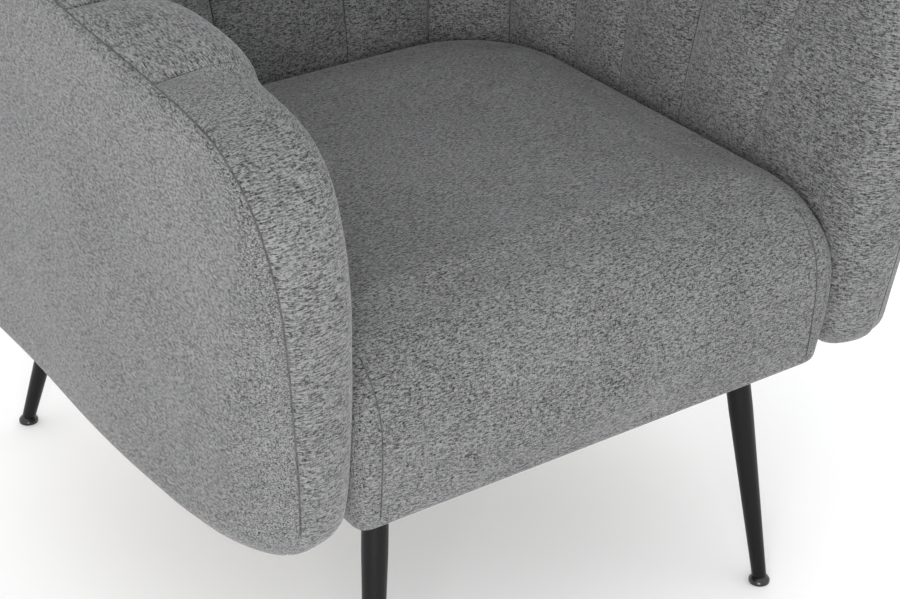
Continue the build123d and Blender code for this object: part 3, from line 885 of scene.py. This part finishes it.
def inflate(obj, pinned, pressure, cap, frames=20):
    """Puffs a closed piece with the cloth simulation, holding the pinned vertices, and caps the movement."""
    start = coordinates(obj.data)
    group = obj.vertex_groups.new(name="held")
    group.add([int(i) for i in pinned], 1.0, "REPLACE")
    cloth = obj.modifiers.new("puff", "CLOTH")
    settings = cloth.settings
    settings.quality = 5
    settings.mass = 0.3
    settings.tension_stiffness = settings.compression_stiffness = 15
    settings.bending_stiffness = 0.5
    settings.use_pressure = True
    settings.uniform_pressure_force = pressure
    settings.vertex_group_mass = "held"
    settings.effector_weights.gravity = 0.0
    cloth.collision_settings.use_collision = False
    scene = bpy.context.scene
    scene.frame_start, scene.frame_end = 1, frames
    for f in range(1, frames + 1):
        scene.frame_set(f)
    applied(obj)
    end = coordinates(obj.data)
    scene.frame_set(1)
    outward = np.array([v.normal[:] for v in obj.data.vertices])
    push = np.clip(np.sum((end - start) * outward, axis=1), 0.0, cap)
    set_coordinates(obj.data, start + outward * push[:, None])
    obj.vertex_groups.clear()
    return obj


def build_seat():
    """The tight seat, puffed by the simulation, with its hem kept as it was and its front corners full."""
    seat = seat_blank("cover_seat")
    remeshed(seat, SEAT_VOXEL)
    relax_mesh(seat, 3)
    crisp = coordinates(seat.data)
    at_back = (crisp[:, 1] > 150) & (crisp[:, 2] < 420)
    pinned = np.nonzero((crisp[:, 2] < 290) | at_back)[0]
    inflate(seat, pinned, PRESSURE, PUFF_CAP)
    relax_mesh(seat, 14)
    co = coordinates(seat.data)
    hem = 1 - smoothstep(crisp[:, 2:], 276, 300)
    co = co * (1 - hem) + crisp * hem
    cheek = (1 - smoothstep(co[:, 1], -345, -285)) * smoothstep(np.abs(co[:, 0]), 190, 267)
    bulge = np.sin(np.pi * np.clip((co[:, 2] - UNDERSIDE) / 185, 0, 1))
    co[:, 0] += np.sign(co[:, 0]) * SEAT_CHEEK * cheek * bulge
    dome = np.clip(1 - (co[:, 0] / SEAT_HALF) ** 2, 0, 1) * np.clip(1 - ((co[:, 1] + 70) / 300) ** 2, 0, 1)
    co[:, 2] += SEAT_DOME * dome * smoothstep(co[:, 2], 400, 440)
    beside = smoothstep(co[:, 1], -350, -300)
    limit = 271.0 + (1 - beside) * 15
    co[:, 0] = np.clip(co[:, 0], -limit, limit)
    co[:, 1] = np.clip(co[:, 1], -369, 199)
    co[:, 2] = np.maximum(co[:, 2], UNDERSIDE + 1.4)
    set_coordinates(seat.data, co)
    mod = seat.modifiers.new("subdivide", "SUBSURF")
    mod.levels = mod.render_levels = 1
    applied(seat)
    seat.data.polygons.foreach_set("use_smooth", [True] * len(seat.data.polygons))
    finish_piece(seat, CLOTH_SEAT, ["seat_cover"])
    return seat


# These rolls take the darker seam cloth too: painted shade of the creases at the seat's corner seams.
def build_seat_seams(seat):
    """The upright seams a little way in from the seat's two front corners, laid on the finished cover."""
    points = [v.co / MM for v in seat.data.vertices]
    tree = BVHTree.FromPolygons(points, [p.vertices[:] for p in seat.data.polygons])
    for side, x in (("left", -SEAT_SEAM_X), ("right", SEAT_SEAM_X)):
        path = []
        for z in np.linspace(284, 434, 60):
            hit = tree.ray_cast(Vector((x, -420, z)), Vector((0, 1, 0)))[0]
            path.append((hit.x, hit.y - 0.1, hit.z))
        finish_piece(tube("seam_seat_" + side, path, SEAT_SEAM_RADIUS), SEAM_CLOTH_PAINTED_SHADE)


def copy_of_node(name, node):
    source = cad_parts[node]
    obj = bpy.data.objects.new(name, source.data.copy())
    bpy.context.scene.collection.objects.link(obj)
    obj.matrix_world = source.matrix_world.copy()
    obj.data.transform(obj.matrix_world)
    obj.matrix_world = Matrix.Identity(4)
    return obj


FOAM_VOXEL, FOAM_GAP, FOAM_DEPTH = 8.0, 9.0, 24.0
FILLING_INSET, SEAT_FOAM_INSET = 2.5, 14.0


def skin_tree(skins):
    """The shell's covers, left and right, for finding how far a point is from them."""
    faces, points = [], []
    for skin in skins:
        for grid in (skin, mirrored(skin)):
            rows, cols = grid.shape[:2]
            base = len(points)
            points.extend(Vector(p) for p in grid.reshape(-1, 3))
            for r in range(rows - 1):
                for c in range(cols - 1):
                    a = base + r * cols + c
                    faces.append((a, a + 1, a + cols + 1, a + cols))
    return BVHTree.FromPolygons(points, faces)


def drawn_in(point, tree, at_back):
    """A filling's point moved inside the covers if it comes too near them."""
    hit, _, _, gap = tree.find_nearest(Vector(point))
    if at_back:
        centre = Vector((point[0] * 0.9, min(point[1], 290.0), 480.0))
    else:
        centre = Vector((math.copysign(330.0, point[0]), point[1], 480.0))
    inward = centre - hit
    inward.z *= 0.15
    if gap < FOAM_GAP and inward.length > 1:
        return np.array(hit + inward.normalized() * FOAM_DEPTH)
    return point


def build_hidden_foam(skins):
    """The fillings and seat foam: foam blocks cut round the timber, kept inside the covers."""
    tree = skin_tree(skins)
    for node in ("filling_left", "filling_right", "filling_back", "seat_foam"):
        obj = copy_of_node("foam_" + node, node)
        remeshed(obj, FOAM_VOXEL)
        relax_mesh(obj, 5)
        co = coordinates(obj.data)
        normal = np.array([v.normal[:] for v in obj.data.vertices])
        co = co - normal * (SEAT_FOAM_INSET if node == "seat_foam" else FILLING_INSET)
        if node != "seat_foam":
            for i, point in enumerate(co):
                co[i] = drawn_in(point, tree, node == "filling_back")
        if node in ("filling_left", "filling_right"):
            low = 1 - smoothstep(co[:, 2], 320, 400)
            co[:, 1] = np.maximum(co[:, 1], -340 + 45 * low)
            co[:, 0] = np.sign(co[:, 0]) * np.minimum(np.abs(co[:, 0]), 366 - 14 * low)
            co[:, 2] = np.maximum(co[:, 2], 286)
        set_coordinates(obj.data, co)
        finish_piece(obj, FOAM, [node])


DUST_INSET, DUST_FRONT_INSET, DUST_LEVEL, DUST_SAG = 16.0, 20.0, 270.8, 0.4


def build_dust_cover():
    """The lining under the seat: a flat sheet with rounded rear corners, stretched to the rails."""
    count = 40
    half, front, rear = SEAT_HALF - DUST_INSET, SEAT_FRONT + DUST_FRONT_INSET, SEAT_REAR - DUST_INSET
    corner = SEAT_CORNER - DUST_INSET
    verts, faces = [], []
    for r in range(count + 1):
        y = front + (rear - front) * r / count
        past = max(0.0, y - (rear - corner))
        wide = half - (corner - math.sqrt(max(0.0, corner * corner - past * past)))
        for c in range(count + 1):
            x = wide * (2 * c / count - 1)
            rest = min(1.0, (half - abs(x)) / 40, (y - front) / 40, (rear - y) / 40)
            verts.append((x, y, DUST_LEVEL - DUST_SAG * max(0.0, rest)))
    for r in range(count):
        for c in range(count):
            a = r * (count + 1) + c
            faces.append((a, a + count + 1, a + count + 2, a + 1))
    obj = add_object("lining_dust_cover", verts, faces, [(v[0] * MM, v[1] * MM) for v in verts])
    finish_piece(obj, LINING, ["dust_cover"])


STRAP_FEET = (440, 510, 580, 650)
STRAP_LENGTH, STRAP_WIDTH, STRAP_Y = 516.0, 50.0, 303.6


def build_webbing():
    """Four elastic straps between the back posts, each bowed by half a millimetre."""
    cols, rows = 60, 6
    for i, z in enumerate(STRAP_FEET):
        verts, faces = [], []
        for r in range(rows + 1):
            for c in range(cols + 1):
                x = STRAP_LENGTH / 2 * (2 * c / cols - 1)
                y = STRAP_Y - 0.5 * math.cos(math.pi * x / STRAP_LENGTH)
                verts.append((x, y, z + STRAP_WIDTH * r / rows))
        for r in range(rows):
            for c in range(cols):
                a = r * (cols + 1) + c
                faces.append((a, a + 1, a + cols + 2, a + cols + 1))
        uvs = [(v[0] * MM, v[2] * MM) for v in verts]
        obj = add_object("webbing_strap_%d" % (i + 1), verts, faces, uvs)
        finish_piece(obj, WEBBING, ["back_webbing"] if i == 0 else ())


# ------------------------------------------------------------------ carried-over CAD nodes


def dress_cad_nodes():
    """Materials for the nodes that show as the CAD has them; what isn't listed here is timber."""
    kinds = [("leg_plates", STEEL), ("leg_inserts", PLASTIC), ("leg_", LEG_PAINT), ("glide_foot", GLIDE),
             ("glide_stud", STEEL), ("wood_screws", STEEL), ("joining_plates", STEEL),
             ("seat_springs", SPRING), ("spring_clips", PLASTIC)]
    for name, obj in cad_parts.items():
        if obj.hide_render:
            continue
        chosen = next((mat for start, mat in kinds if name.startswith(start)), TIMBER)
        obj.data.materials.clear()
        obj.data.materials.append(chosen)


make_camera()
make_studio()
CLOTH_INSIDE = weave_material("cloth_inside", True, 0, GREY_DARK, GREY_LIGHT)
CLOTH_SEAT = weave_material("cloth_seat", False, 0, GREY_DARK, GREY_LIGHT)
CLOTH_OUTSIDE = weave_material("cloth_outside", False, 1, GREY_DARK, GREY_LIGHT)
# The seam rolls are a darker grey than the covers: painted shade of the creases along the seams.
SEAM_CLOTH_PAINTED_SHADE = weave_material("cloth_seam_painted_shade", True, 0, (0.02, 0.02, 0.02), (0.09, 0.09, 0.09))
LINING = weave_material("lining_black", True, 0, (0.012, 0.012, 0.013), (0.035, 0.035, 0.036), bump=0.0004)
WEBBING = weave_material("webbing", True, 0, (0.05, 0.045, 0.035), (0.20, 0.18, 0.15))
FOAM = speckled("foam", (0.78, 0.72, 0.55), 0.08, 0.95, 900.0, bump=0.001)
LEG_PAINT = speckled("leg_paint", (0.004, 0.004, 0.0043), 0.25, 0.36, 1400.0, bump=0.00012)
LEG_PAINT.node_tree.nodes["Principled BSDF"].inputs["Specular IOR Level"].default_value = 0.17
GLIDE = speckled("glide_plastic", (0.011, 0.011, 0.012), 0.2, 0.22, 900.0, bump=0.00006)
PLASTIC = speckled("clip_plastic", (0.03, 0.03, 0.032), 0.2, 0.45, 700.0)
STEEL = speckled("plated_steel", (0.52, 0.52, 0.50), 0.15, 0.34, 500.0, 1.0)
SPRING = speckled("spring_steel", (0.20, 0.19, 0.18), 0.25, 0.4, 500.0, 1.0)
TIMBER = timber_material("timber")

shell_skins = build_shell()
build_outer_seams()
build_seat_seams(build_seat())
build_hidden_foam(shell_skins)
build_dust_cover()
build_webbing()
dress_cad_nodes()
